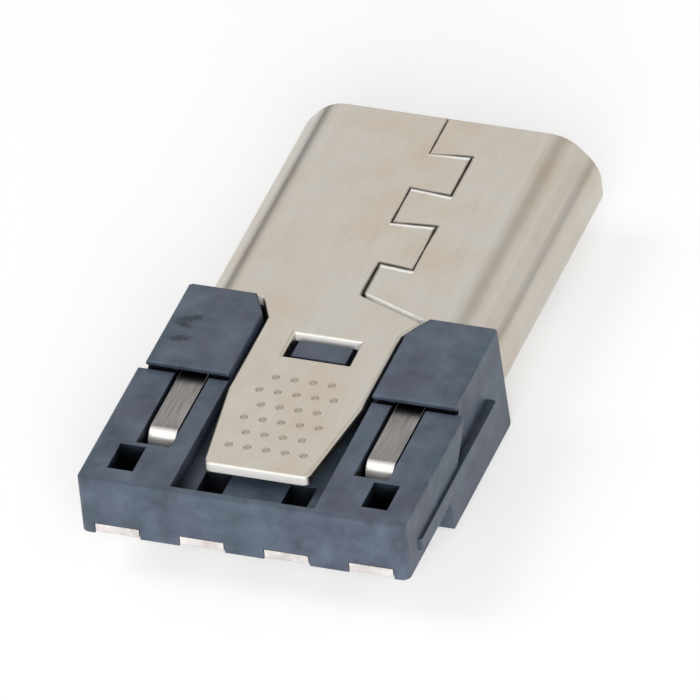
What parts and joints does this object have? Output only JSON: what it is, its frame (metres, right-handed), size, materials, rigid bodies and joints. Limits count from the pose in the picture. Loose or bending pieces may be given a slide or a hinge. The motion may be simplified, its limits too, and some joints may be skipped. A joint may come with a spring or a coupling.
{
  "type": "micro usb plug",
  "caption": "Thin data-cable plug with a D-shaped metal nose, sprung latch hooks, a folded shell with an interlocked seam, and solder pads at the rear.",
  "frame": {"origin": "in the plane of the wide band's face, under the middle of the plug's length and width", "axes": "+X across the plug, +Y out of the mating end, +Z from the latch side to the seam side"},
  "size_m": [0.0074, 0.0136, 0.0026],
  "materials": {
    "slate_plastic": "fine moulded, slightly glossy",
    "nickel_sheet": "satin nickel plate",
    "tinned_contact": "bright tin plate over copper alloy",
    "spring_steel": "satin rolled strip"
  },
  "bodies": {
    "connector": {"housing": "slate_plastic", "shell": "nickel_sheet", "contact_1": "tinned_contact", "contact_2": "tinned_contact", "contact_3": "tinned_contact", "contact_4": "tinned_contact", "contact_5": "tinned_contact"},
    "latch_left": {"latch_spring_left": "spring_steel"},
    "latch_right": {"latch_spring_right": "spring_steel"}
  },
  "joints": [
    {"name": "latch_left_press", "type": "hinge", "parent": "connector", "child": "latch_left", "pos_m": [-0.00253, -0.0034, 0.00224], "axis": [1, 0, 0], "range_deg": [0, 2.69], "stiffness_Nm_per_rad": 0.09},
    {"name": "latch_right_press", "type": "hinge", "parent": "connector", "child": "latch_right", "pos_m": [0.00253, -0.0034, 0.00224], "axis": [1, 0, 0], "range_deg": [0, 2.69], "stiffness_Nm_per_rad": 0.09}
  ]
}
